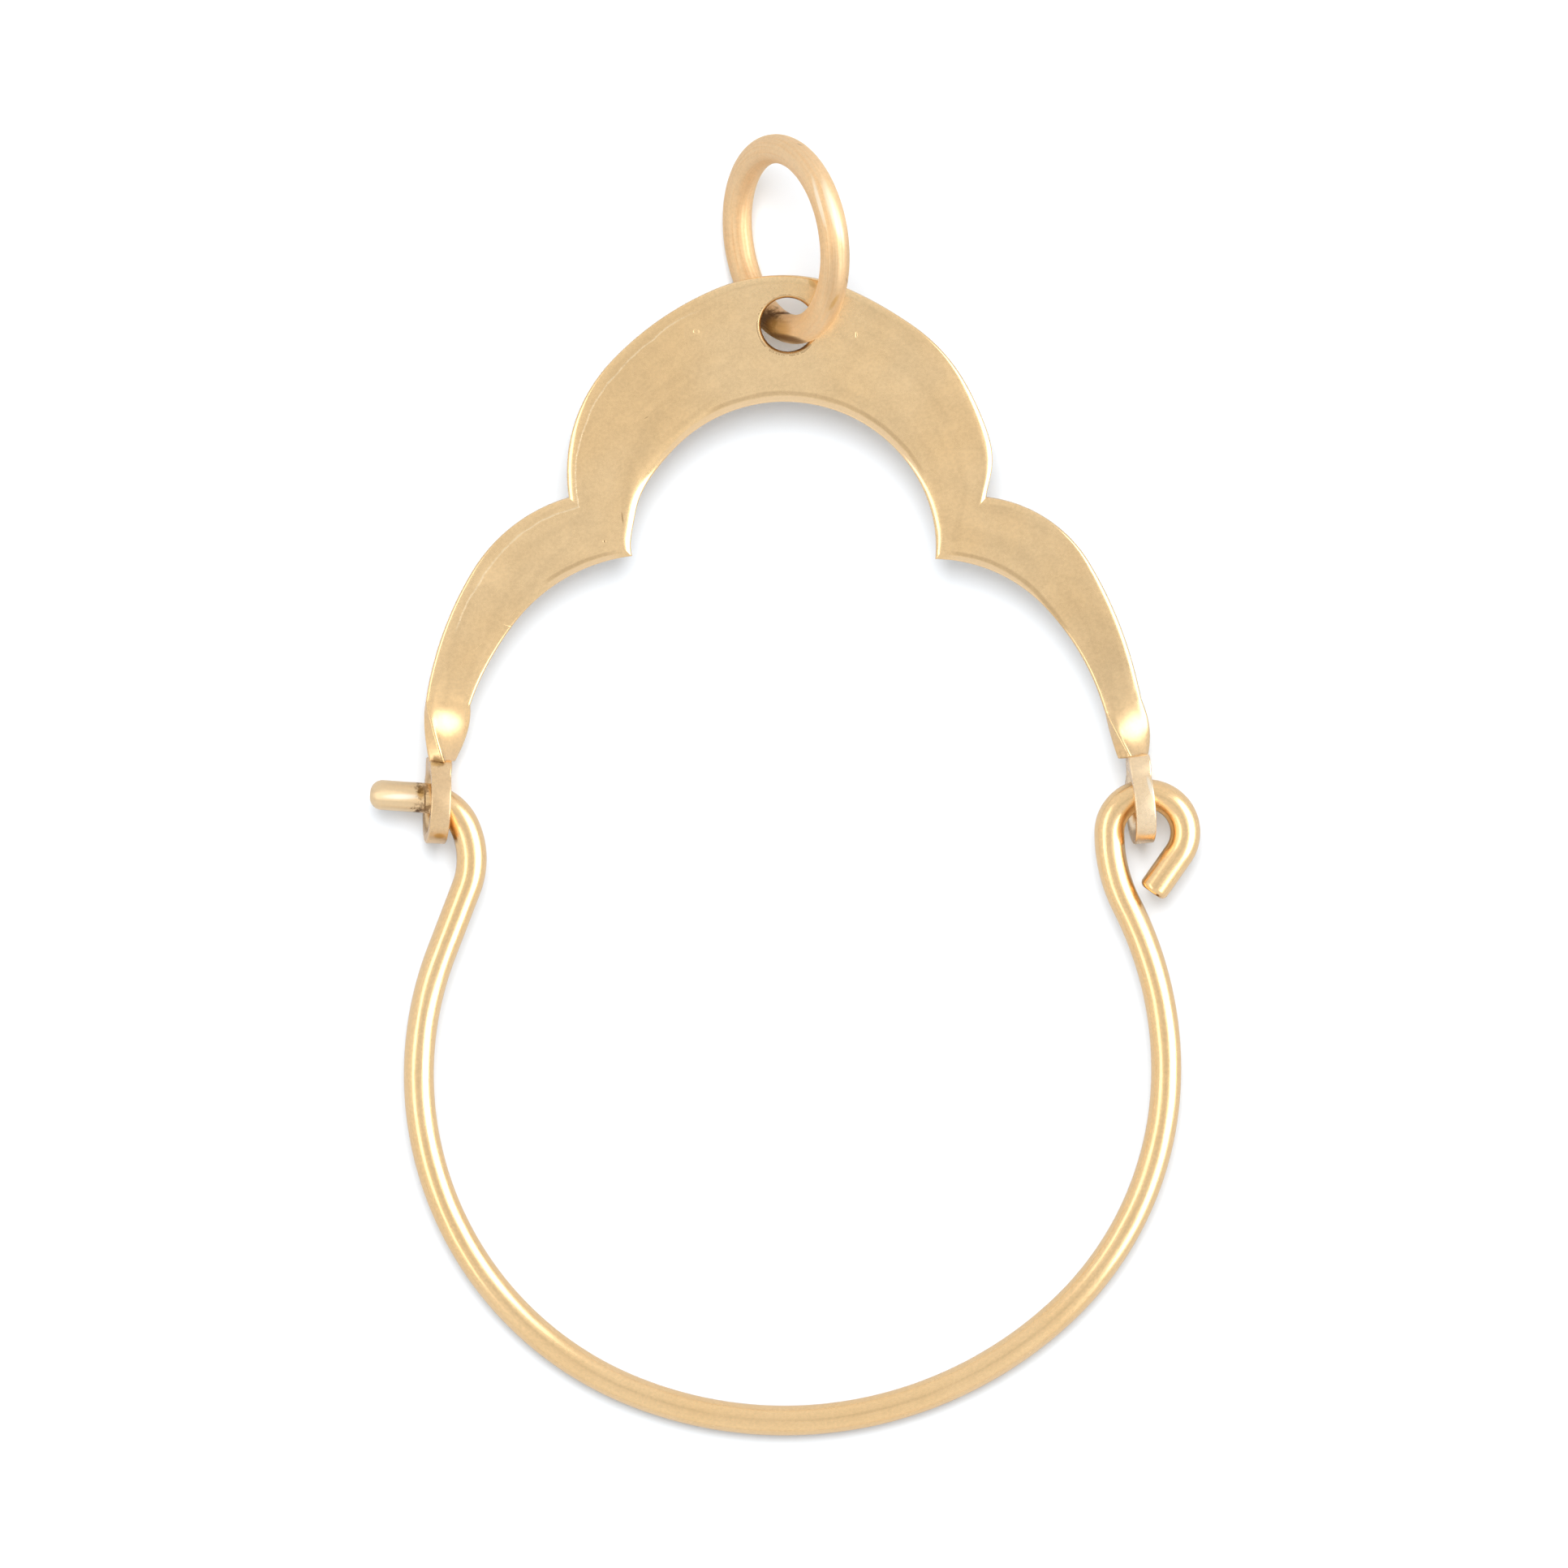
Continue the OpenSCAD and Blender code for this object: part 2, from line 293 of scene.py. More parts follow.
# %% Shoulder profile
ROLL_STEPS, EDGE_STEPS, MIDDLE_POINTS = 9, 8, 13
FLAT_STEP = 0.045
WIDEST_SHARE = 0.46


def shoulder(tilt, roll_r, edge_r):
    """Distance from the edge and drop below the face, a row for each section, from the side
    inwards: an arc of radius edge_r from 90 degrees to tilt, one of radius roll_r down to none,
    and two flat steps."""
    tilt = np.radians(tilt)
    a = math.pi / 2 + (tilt - math.pi / 2) * np.linspace(0, 1, EDGE_STEPS)
    b = tilt * (1 - np.linspace(0, 1, ROLL_STEPS)[1:])
    corner = edge_r * (1 - np.sin(tilt))
    reach = corner + roll_r * np.sin(tilt)
    drop = roll_r * (1 - np.cos(tilt))
    d = np.concatenate([corner - edge_r * (np.sin(a) - np.sin(tilt)), reach - roll_r * np.sin(b),
                        reach + FLAT_STEP, reach + 2 * FLAT_STEP], 1)
    z = np.concatenate([drop + edge_r * (np.cos(tilt) - np.cos(a)), roll_r * (1 - np.cos(b)),
                        0 * reach, 0 * reach], 1)
    return d, z


def across_band(width, outer, inner):
    """Distance from the inner edge and drop of each point of one side, for every section: both
    shoulders' steps, each at most WIDEST_SHARE of the width, and even steps between."""
    near, far = [(d * np.minimum(1, WIDEST_SHARE * width / d[:, -1:]), z)
                 for d, z in (inner, outer)]
    t = np.linspace(0, 1, MIDDLE_POINTS + 2)[None, 1:-1]
    left, right = near[0], width - far[0][:, ::-1]
    dist = np.concatenate([left, left[:, -1:] * (1 - t) + right[:, :1] * t, right], 1)
    return dist, np.concatenate([near[1], 0 * (t + width), far[1][:, ::-1]], 1)


# %% Face and back of the band
# Rows of the share along the whole band, and the shoulder's tilt at the outer and the inner edge.
TILTS = [[0, 4, 4], [0.06, 5, 5], [0.12, 15.5, 17], [0.2, 16, 16], [0.27, 15, 14], [0.286, 17, 17],
         [0.3, 19, 21], [0.32, 19, 23], [0.35, 16, 24.5], [0.42, 14, 20.5], [0.5, 13, 16],
         [0.58, 14, 17], [0.65, 17, 21], [0.69, 18.5, 22], [0.714, 18, 16], [0.73, 14, 14],
         [0.78, 15.5, 15], [0.84, 17, 18], [0.9, 16.5, 17], [0.94, 5, 5], [1, 4, 4]]
FACE_ROLL, BACK_ROLL, BACK_TILT = 1.15, 0.5, 20
FACE_EDGE, BACK_EDGE = 0.09, 0.12
HALF_T = SHEET_T / 2

middle, width, across, through = sections
place = np.linspace(0, 1, len(middle))
at, *edge_tilts = np.array(TILTS).T
outer, inner = [shoulder(np.interp(place, at, tilts)[:, None], FACE_ROLL, FACE_EDGE)
                for tilts in edge_tilts]
back = shoulder(BACK_TILT + 0 * width, BACK_ROLL, BACK_EDGE)
inner_line = (middle - across * width / 2)[:, None, :]


def band_side(dist, height):
    """Points at these distances across from the inner edge and heights through the metal."""
    return (inner_line + across[:, None, :] * dist[..., None]
            + through[:, None, :] * height[..., None])


dist, drop = across_band(width, outer, inner)
top = band_side(dist, HALF_T - drop)
back_dist, back_drop = across_band(width, back, back)
under = band_side(back_dist, back_drop - HALF_T)
loop = np.concatenate([top, under[:, ::-1]], 1)
print("widest shoulder:", inner[0][:, -3].max().round(2), "grid:", loop.shape[:2])

# %% Grain of the band
# Each point's length along the band and its distances from the outer and the inner edge, in mm. On
# the back they are past any line.
NO_LINES = [0, 50.0, 50.0]
lengths = lengths_along(middle)[:, None]
run = np.stack([lengths + 0 * dist, width - dist, dist], -1)
run = np.concatenate([run, run[:, ::-1] + NO_LINES], 1)
print("band length in mm:", float(lengths[-1, 0].round(1)))

# %% [markdown]
# ## The hole for the jump ring
# A round hole doesn't fit a grid, so a window of faces is taken out of the sheet's top and bottom.
# Straight rays join each point of the window's rim to the hole's circle at the same angle, and a
# short wall with rounded rims joins the two circles.

# %% Window, rays and wall
HOLE = np.array([0.11, 16.37])
HOLE_R, HOLE_ROUND = 0.92, 0.12
WINDOW_HALF = 1.75
RAY_ROWS, RAY_CROWDING, ROUND_ROWS = 9, 1.3, 7
half_window = int(np.argmax(np.abs(half["right"][0][:, 0]) > WINDOW_HALF))
row_a, row_b = middle_row - half_window, middle_row + half_window
n_edge = ROLL_STEPS + EDGE_STEPS + 1
col_a, col_b = n_edge - 1, top.shape[1] - n_edge

rim = ([(r, col_a) for r in range(row_a, row_b)] + [(row_b, c) for c in range(col_a, col_b)]
       + [(r, col_b) for r in range(row_b, row_a, -1)]
       + [(row_a, c) for c in range(col_b, col_a, -1)])
rim = np.array(rim)
rim_top, rim_under = top[tuple(rim.T)], under[tuple(rim.T)]
angle = np.arctan2(rim_top[:, 1] - HOLE[1], rim_top[:, 0] - HOLE[0])
circle = np.stack([np.cos(angle), np.sin(angle)], 1)

t = np.linspace(0, 1, RAY_ROWS)[:, None, None] ** RAY_CROWDING
start = np.concatenate([HOLE + circle * (HOLE_R + HOLE_ROUND), np.full((len(rim), 1), HALF_T)], 1)
rays_top = start * (1 - t) + rim_top * t
rays_under = start * [1, 1, -1] * (1 - t) + rim_under * t

q = np.linspace(0, math.pi / 2, ROUND_ROWS)
wall_r = HOLE_R + HOLE_ROUND * (1 - np.concatenate([np.sin(q), np.sin(q[::-1])]))
wall_z = np.concatenate([HALF_T - HOLE_ROUND * (1 - np.cos(q)),
                         -(HALF_T - HOLE_ROUND * (1 - np.cos(q[::-1])))])
wall = np.concatenate([HOLE + circle[None] * wall_r[:, None, None],
                       np.repeat(wall_z[:, None, None], len(rim), 1)], 2)
print("rays round the hole:", len(rim))

# %% [markdown]
# ## Sheet, put together
# The band's grid, less the window's faces, the two fans of rays and the wall become one mesh. Each
# end of the band was sawn square, so it is closed by rows that shrink to its middle. These get a
# grain away from any line, and a length below zero marks the hole's wall.

# %% The plate
CAP_SHRINK = np.array([0.985, 0.95, 0.6, 0.0])[:, None, None]
CAP_OUT = np.array([0.012, 0.022, 0.022, 0.022])[:, None, None]
NO_EDGE, HOLE_WALL = 5.0, -9.0
n_loop = loop.shape[1]
band_faces = grid_faces(loop)
r, c = band_faces[:, 0] // n_loop, band_faces[:, 0] % n_loop
in_rows = (r >= row_a) & (r < row_b)
on_top = (c >= col_a) & (c < col_b)
mirror = n_loop - 2 - c
on_under = (mirror >= col_a) & (mirror < col_b)
band_faces = band_faces[~(in_rows & (on_top | on_under))]

parts = [(loop, band_faces, run)]
for rays in (rays_top, rays_under, wall):
    far = np.full(rays.shape, HOLE_WALL if rays is wall else NO_EDGE)
    parts.append((rays, grid_faces(rays), far))
for k, step in ((0, 1), (-1, -2)):
    centre = loop[k].mean(0)
    out = centre - loop[step].mean(0)
    out /= np.linalg.norm(out)
    cap = centre + (loop[k] - centre) * CAP_SHRINK + out * CAP_OUT
    grid = np.concatenate([loop[k][None], cap])
    parts.append((grid, grid_faces(grid), np.full(grid.shape, NO_EDGE)))

points = np.concatenate([p.reshape(-1, 3) for p, _, _ in parts])
sheet_run = np.concatenate([r.reshape(-1, 3) for _, _, r in parts])
shift = np.cumsum([0] + [p.shape[0] * p.shape[1] for p, _, _ in parts[:-1]])
faces = np.concatenate([f + k for (_, f, _), k in zip(parts, shift)])
sheet = make_piece("sheet", points, faces, "scalloped_plate", sheet_run)

# %% [markdown]
# ## Eyelets
# Each eyelet is a little washer of the same gold, turned across the sheet and soldered to its arm.
# It is a closed profile, a rounded rectangle, carried once round the hole. At the top the solder
# has filled the corner between washer and arm, so the profile reaches out there to a flat lug. The
# left faces show a sliver, because both eyelets are turned a few degrees past square. The hook's
# end has rubbed the right one's lower left face thinner, where the bow swings past it.

# %% Eyelet surfaces
EYELET_R, EYELET_HOLE_R, EYELET_T = 1.4, 0.92, 0.68
HOLE_EDGE, RIM_EDGE, FLARE = 0.25, 0.05, 0.12
EYELET_TURN = math.radians(97)
LUG_TOP = {"left": 1.5, "right": 1.66}
LUG_HALF, LUG_FADE = math.radians(24), math.radians(50)
RUBBED = {"left": 0.0, "right": 0.13}
RUB_PEAK, RUB_END, RUB_FALL = 1.2, 1.65, 0.43


def smooth(t):
    """Rises from 0 to 1 while t does: t squared times (3 minus 2 t)."""
    t = np.clip(t, 0, 1)
    return t * t * (3 - 2 * t)


def rounded_rectangle(x0, x1, y, r0, r1, n=7):
    """Closed profile from x0 to x1 and from -y to y, with n points on each quarter round, of
    radius r0 at the side x0 and r1 at the side x1."""
    corners = [(x1 - r1, y - r1, r1), (x0 + r0, y - r0, r0),
               (x0 + r0, r0 - y, r0), (x1 - r1, r1 - y, r1)]
    out = []
    for k, (cx, cy, r) in enumerate(corners):
        a = np.linspace(k, k + 1, n) * math.pi / 2
        out.append(np.stack([cx + r * np.cos(a), cy + r * np.sin(a)], 1))
    return np.concatenate(out)


def eyelet(side, count=180):
    """The profile [distance from the axis, height] turned round the axis, then laid across. Within
    LUG_HALF of the top it reaches LUG_TOP over the cosine of the angle, and fades by LUG_FADE. The
    solder makes it wider there by the share FLARE. One face loses up to RUBBED, from the hole's
    rounded edge outwards: all of it at RUB_PEAK radians, and nothing at zero and RUB_END."""
    profile = rounded_rectangle(EYELET_HOLE_R, EYELET_R, EYELET_T / 2, HOLE_EDGE, RIM_EDGE)
    a = full_turn(count)[:, None]
    off = np.abs(np.remainder(a - math.pi / 2 + math.pi, 2 * math.pi) - math.pi)
    fade = smooth((LUG_FADE - off) / (LUG_FADE - LUG_HALF))
    reach = EYELET_R + (LUG_TOP[side] / np.cos(np.minimum(off, LUG_HALF)) - EYELET_R) * fade
    rho, z = profile[None, :, 0], profile[None, :, 1]
    depth, breadth = rho - EYELET_HOLE_R, EYELET_R - EYELET_HOLE_R
    z = z * (1 + FLARE * fade * depth / breadth)
    depth = depth * (reach - EYELET_HOLE_R) / breadth
    rub = smooth(a / RUB_PEAK) * smooth((RUB_END - a) / RUB_FALL) * smooth(depth / HOLE_EDGE)
    z = z + RUBBED[side] * rub * (z < 0)
    rho = EYELET_HOLE_R + depth
    ring = turned(np.stack([rho * np.cos(a), rho * np.sin(a), z], -1), "y", EYELET_TURN)
    return turned(ring, "z", math.radians(EYELET_LEAN[side])) + [EYELET_X[side], 0, 0]


eyelets = {}
for side in ("left", "right"):
    ring = eyelet(side)
    eyelets[side] = make_piece("eyelet_" + side, ring, grid_faces(ring, closed=True),
                               "scalloped_plate")

# %% [markdown]
# ## Jump ring
# A jump ring is wound from wire, cut and closed. This one is soldered shut and lies leaning in its
# hole. It is a circle carried round a larger circle, very slightly out of round. Its grain's
# length runs to the far side and back, so the grain meets itself where the ring closes.

# %% Ring surface
RING_R, RING_WIRE = 3.11, 0.5
RING_AT = np.array([0.05, 19.31, 0.57])
RING_TURN, RING_LEAN = math.radians(-58.4), math.radians(7.7)
OUT_OF_ROUND = 0.008
AROUND, ACROSS = 240, 48


def wire_grain(length, b, wire):
    """The length along a wire, then the place round it as its radius times cosine and sine of b."""
    return np.stack([length + 0 * b, wire * np.cos(b) + 0 * length,
                     wire * np.sin(b) + 0 * length], -1)


a, b = full_turn(AROUND)[:, None], full_turn(ACROSS)[None, :]
wire = RING_WIRE * (1 + OUT_OF_ROUND * np.sin(3 * a + 1) * np.cos(b))
reach = RING_R + wire * np.cos(b)
ring = np.stack([reach * np.cos(a), reach * np.sin(a), wire * np.sin(b) + 0 * a], -1)
ring = turned(turned(ring, "y", RING_TURN), "z", RING_LEAN) + RING_AT
there_and_back = (math.pi - np.abs(a - math.pi)) * RING_R
jump_ring = make_piece("ring", ring, grid_faces(ring, closed=True), "jump_ring",
                       wire_grain(there_and_back, b, RING_WIRE))

# %% [markdown]
# ## Bow
# The bow is one length of drawn wire: a hook curled through the right eyelet, a round belly, and a
# stub sprung through the left eyelet. Its tip was filed round and its hook end cut nearly flat. The
# circle is carried along the walk, and at both ends its radius falls to nothing.

# %% Bow surface
WIRE = 0.515
BOW_DROP = 21.2
BOW_LEFT = [[13.8, -23], [11.7, -88], [2.385, 0], [2.75, 45], [1.65, 62], [1.85, 0]]
BOW_RIGHT = [[13.9, 43], [11.3, 44], [12.36, 30], [5.55, -27], [1.3, -215], [1.6, 0]]
STUB_ROUND, HOOK_ROUND = 0.42, 0.2
ROUTE_ROWS, STUB_ROWS, HOOK_ROWS, WIRE_POINTS = 620, 12, 8, 56
CLOSING = np.array([0, 0.33, 0.66])[:, None, None]

left_run = walk(BOW_LEFT, (0, -BOW_DROP), 180)
right_run = walk(BOW_RIGHT, (0, -BOW_DROP), 0)
left_run[:, 2] -= 180
route = np.concatenate([left_run[::-1], right_run[1:]])
at = lengths_along(route[:, :2])
full = at[-1]


def end_radius(left, r):
    """Wire radius at the length left from an end whose edge is rounded by r."""
    near = np.clip(r - left, 0, r)
    return WIRE - r + np.sqrt(np.maximum(r ** 2 - near ** 2, 0))


def round_rows(r, count):
    """Lengths from an end at even angles of its rounding: r times one less the cosine."""
    return r * (1 - np.cos(np.linspace(0, math.pi / 2, count)))


along = np.unique(np.concatenate([np.linspace(0, full, ROUTE_ROWS),
                                  round_rows(STUB_ROUND, STUB_ROWS),
                                  full - round_rows(HOOK_ROUND, HOOK_ROWS)]))
x, y, h = [np.interp(along, at, route[:, k]) for k in range(3)]
radius = np.minimum(end_radius(along, STUB_ROUND), end_radius(full - along, HOOK_ROUND))
h = np.radians(h)[:, None]
b = full_turn(WIRE_POINTS)[None, :] - math.pi / 2
centre = np.stack([x, y, 0 * x], -1)[:, None, :]
sideways = np.stack([-np.sin(h), np.cos(h), 0 * h], -1)
ring = centre + radius[:, None, None] * (np.cos(b)[..., None] * sideways
                                         + np.sin(b)[..., None] * np.array([0, 0, 1.0]))
tip = centre[0] + (ring[0] - centre[0]) * CLOSING
cut = centre[-1] + (ring[-1] - centre[-1]) * CLOSING[::-1]
bow_points = np.concatenate([tip, ring, cut])
wire_at = np.pad(along, len(CLOSING), "edge")[:, None]
bow = make_piece("bow", bow_points, grid_faces(bow_points), "bow_wire",
                 wire_grain(wire_at, b, WIRE), body="bow")
print("wire length in mm:", round(float(full), 1))

# %% [markdown]
# ## Shader groups
# Worn gold is a clean metal with three things on top: a slow drift of tone, hair scratches from
# years of rubbing, and dark residue in corners that a cloth never reaches. The residue group also
# paints shade on the jump ring, where it passes under the sheet. Each is a node group with its own
# inputs, so every material can use it at its own strength.

# %% Node helpers
SOCKETS = {1: "NodeSocketFloat", 3: "NodeSocketVector", 4: "NodeSocketColor"}


def new_group(name, output, size, **inputs):
    """A shader node group with a Vector, these inputs and one output. A size of 1 is a number, 3
    a vector and 4 a colour."""
    tree = bpy.data.node_groups.new(name, "ShaderNodeTree")
    new_socket = tree.interface.new_socket
    new_socket("Vector", in_out="INPUT", socket_type=SOCKETS[3])
    for label, value in inputs.items():
        kind = SOCKETS[np.size(value)]
        new_socket(label, in_out="INPUT", socket_type=kind).default_value = value
    new_socket(output, in_out="OUTPUT", socket_type=SOCKETS[size])
    return tree, tree.nodes.new("NodeGroupInput").outputs, tree.nodes.new("NodeGroupOutput").inputs


def put(tree, kind, settings=None, **inputs):
    """Adds a node, sets its properties, and fills its inputs with values or links: by name, or by
    number as i0, i1 and so on."""
    node = tree.nodes.new("ShaderNode" + kind)
    for key, value in (settings or {}).items():
        setattr(node, key, value)
    for key, value in inputs.items():
        socket = node.inputs[int(key[1:]) if key[1:].isdigit() else key.replace("_", " ")]
        if isinstance(value, bpy.types.NodeSocket):
            tree.links.new(value, socket)
        else:
            socket.default_value = value
    return node


def use(tree, group, **inputs):
    """Places a node group: its one output."""
    return put(tree, "Group", {"node_tree": group}, **inputs).outputs[0]


# %% Sums and patterns
def maths(operation, tree, a, b=0.0, c=0.0):
    """One Math node: its output. The four names below do it for one operation each."""
    return put(tree, "Math", {"operation": operation}, i0=a, i1=b, i2=c).outputs[0]


times, plus = partial(maths, "MULTIPLY"), partial(maths, "ADD")
minus, over = partial(maths, "SUBTRACT"), partial(maths, "DIVIDE")


def between(tree, value, low, high, to_low=0.0, to_high=1.0):
    """A smooth step from to_low to to_high while value goes from low to high."""
    return put(tree, "MapRange", {"interpolation_type": "SMOOTHSTEP"}, Value=value, From_Min=low,
               From_Max=high, To_Min=to_low, To_Max=to_high).outputs[0]


def vectors(tree, operation, a, b):
    """One Vector Math node: its outputs."""
    return put(tree, "VectorMath", {"operation": operation}, i0=a, i1=b).outputs


def rotated(tree, vector, angle):
    """A vector turned about the upright axis."""
    return put(tree, "VectorRotate", {"rotation_type": "Z_AXIS"}, Vector=vector,
               Angle=angle).outputs[0]


def noise(tree, vector, scale, detail, rough=0.5):
    """Cloudy noise with that many finer layers, each weaker by rough: values about a half."""
    return put(tree, "TexNoise", Vector=vector, Scale=scale, Detail=detail,
               Roughness=rough).outputs["Fac"]


def streaks(tree, vector, factors, detail, rough=0.5):
    """Noise drawn out: each part of the vector counts times its own factor."""
    return noise(tree, vectors(tree, "MULTIPLY", vector, factors)[0], 1.0, detail, rough)


def blend_in(tree, mask, a, b):
    """Colour a where mask is 0 and b where it is 1."""
    return put(tree, "Mix", {"data_type": "RGBA"}, i0=mask, i6=a, i7=b).outputs[2]


def lit(tree, colour, value):
    """The colour made lighter or darker: its brightness times value."""
    return put(tree, "HueSaturation", Value=value, Color=colour).outputs[0]


# %% Drift of tone
drift, drift_in, drift_out = new_group(
    "tone_drift", "Color", 4, Scale=200.0, Colour=(0.9, 0.65, 0.35, 1), Warm=(0.9, 0.6, 0.28, 1),
    Amount=0.4)
patch = between(drift, noise(drift, drift_in["Vector"], drift_in["Scale"], 3.0, 0.55), 0.35, 0.7)
share = times(drift, patch, drift_in["Amount"])
drift.links.new(blend_in(drift, share, drift_in["Colour"], drift_in["Warm"]), drift_out["Color"])

# %% Hair scratches
# Noise drawn out along one direction, cut to its peaks, and let through only here and there.
HAIR_SCALE, GATE_SCALE = 600.0, 420.0
hair, hair_in, hair_out = new_group("hair_scratches", "Mask", 1, Turn=0.5, Density=1.0,
                                    Stretch=30.0)
laid = rotated(hair, hair_in["Vector"], hair_in["Turn"])
size = put(hair, "CombineXYZ", X=HAIR_SCALE, Y=times(hair, hair_in["Stretch"], HAIR_SCALE),
           Z=HAIR_SCALE).outputs[0]
lines = between(hair, streaks(hair, laid, size, 2.0, 0.7), 0.62, 0.72)
gate = between(hair, noise(hair, laid, GATE_SCALE, 1.0), 0.5, 0.62)
hair.links.new(times(hair, times(hair, lines, gate), hair_in["Density"]), hair_out["Mask"])

# %% Residue and painted shade near a place
# The distance over the reach, roughened by fine noise, fades the dark patch out.
residue_and_shade, residue_and_shade_in, residue_and_shade_out = new_group("residue_and_shade_near", "Mask", 1, Place=(0, 0, 0), Reach=0.001,
                                       Speckle=0.5)
far = vectors(residue_and_shade, "DISTANCE", residue_and_shade_in["Vector"], residue_and_shade_in["Place"])["Value"]
ratio = over(residue_and_shade, far, residue_and_shade_in["Reach"])
grains = minus(residue_and_shade, noise(residue_and_shade, residue_and_shade_in["Vector"], 5200.0, 4.0, 0.65), 0.5)
speckled = plus(residue_and_shade, ratio, times(residue_and_shade, grains, residue_and_shade_in["Speckle"]))
residue_and_shade.links.new(between(residue_and_shade, speckled, 1.0, 0.35), residue_and_shade_out["Mask"])

# %% One small mark
# An oval: the squares of the two distances, each over its own half size, add up to 1 at its rim.
mark, mark_in, mark_out = new_group("small_mark", "Mask", 1, Place=(0, 0, 0), Turn=0.0,
                                    Length=0.0005, Width=0.00005)
away = vectors(mark, "SUBTRACT", mark_in["Vector"], mark_in["Place"])[0]
off = put(mark, "SeparateXYZ", Vector=rotated(mark, away, mark_in["Turn"])).outputs
shares = [over(mark, off[part], mark_in[size])
          for part, size in (("X", "Length"), ("Y", "Width"))]
squares = plus(mark, *[times(mark, share, share) for share in shares])
mark.links.new(between(mark, squares, 1.0, 0.0), mark_out["Mask"])
print("groups:", [g.name for g in bpy.data.node_groups])

# %% [markdown]
# ## Gold finishes
# All the pieces are one alloy, so their colour is nearly the same, and what sets them apart is the
# surface: the sheet is brushed smooth, the wire is drawn and bright with long streaks, and the ring
# is a little duller. Streaks and scratches are too fine for geometry, so they go into roughness
# and a very low bump. Each finish starts plain, and each later step adds one kind of wear. Some
# steps also paint highlights, reflections and shade into the colour.

# %% One gold for all
BOW_GOLD = (0.93, 0.665, 0.365, 1)
SHEET_GOLD = (0.935, 0.686, 0.389, 1)
RING_GOLD = (0.875, 0.655, 0.405, 1)
# Painted reflection colour: a rosy tint on the inner shoulders.
ROSE_SHEEN = (0.96, 0.72, 0.46, 1)
WARM_GOLD = (0.9, 0.6, 0.285, 1)
# Painted sheen, pale: on the burr line and on the filed stub.
PALE_SHEEN = (1.0, 0.86, 0.62, 1)
# Painted highlight colour: streaks on the right eyelet, the stub and the jump ring.
WHITE_HIGHLIGHT = (1.0, 0.96, 0.84, 1)
# Amber is solder at the left arm's end. Elsewhere it paints reflections, and shade in the hole.
AMBER = (0.62, 0.36, 0.1, 1)
# Dark residue is real dirt and solder, and also painted shade in the hole, in the stub's gap and on
# the ring.
RESIDUE_AND_SHADE = (0.16, 0.075, 0.025, 1)


class Gold:
    """A gold material in the making, with a shade, a roughness and a height to change. The body
    says whose drawing its places are on."""
    body = "holder"

    def __init__(self, name, colour, rough, speck):
        """Gold whose tone drifts to WARM_GOLD, with fine specks between two levels of light."""
        self.material = bpy.data.materials.new(name)
        self.material.use_nodes = True
        self.tree = tree = self.material.node_tree
        self.shader = tree.nodes["Principled BSDF"]
        self.shader.inputs["Metallic"].default_value = 1.0
        self.shader.inputs["Roughness"].default_value = rough
        self.place = put(tree, "TexCoord").outputs["Object"]
        tone = use(tree, drift, Vector=self.place, Scale=200.0, Colour=colour, Warm=WARM_GOLD,
                   Amount=0.42)
        self.fine = noise(tree, self.place, 9000.0, 3.0, 0.7)
        self.shade = lit(tree, tone, between(tree, self.fine, 0.25, 0.75, *speck))

    def spot(self, x, y, z=0.3):
        """A place on the body's drawing, as a vector in metres on the table."""
        return on_table([[x, y, z]], self.body)[0].tolist()

    def tint(self, mask, amount, colour):
        """Takes the shade towards a colour by mask times amount."""
        self.shade = blend_in(self.tree, times(self.tree, mask, amount), self.shade, colour)

    def lift(self, mask, amount):
        """Raises the height by mask times amount, or lowers it where amount is below zero."""
        self.height = plus(self.tree, self.height, times(self.tree, mask, amount))

    def read_grain(self):
        """The piece's grain attribute, whole and in three parts."""
        self.run = put(self.tree, "Attribute", {"attribute_name": "grain"}).outputs["Vector"]
        return put(self.tree, "SeparateXYZ", Vector=self.run).outputs[:3]

    def dress(self, piece, depth):
        """Links shade and roughness, makes the height a bump of that depth in metres, and puts
        the material on the piece."""
        links, sockets = self.tree.links, self.shader.inputs
        bump = put(self.tree, "Bump", Height=self.height, Distance=depth, Strength=1.0)
        links.new(self.shade, sockets["Base Color"])
        links.new(self.rough, sockets["Roughness"])
        links.new(bump.outputs[0], sockets["Normal"])
        piece.data.materials.append(self.material)
        print(self.material.name, "nodes:", len(self.tree.nodes))


# %% Brushed sheet
SCRATCHES = ((0.35, 1.0, 0.045), (-0.9, 0.7, 0.03), (1.4, 0.6, 0.05))


def brushed(name, rough, colour=SHEET_GOLD):
    """Sheet with SCRATCHES, rows of turn, density and stretch, over soft waves and fine specks."""
    gold = Gold(name, colour, rough, (0.93, 1.06))
    tree, scratch = gold.tree, 0.0
    for turn, density, stretch in SCRATCHES:
        hairs = use(tree, hair, Vector=gold.place, Turn=turn, Density=density, Stretch=stretch)
        scratch = maths("MAXIMUM", tree, scratch, hairs)
    soft = noise(tree, gold.place, 1500.0, 4.0, 0.6)
    gold.rough = plus(tree, between(tree, soft, 0.3, 0.75, rough - 0.03, rough + 0.04),
                      times(tree, scratch, 0.1))
    gold.height = times(tree, soft, 0.12)
    gold.lift(gold.fine, 0.22)
    gold.lift(scratch, -0.5)
    return gold


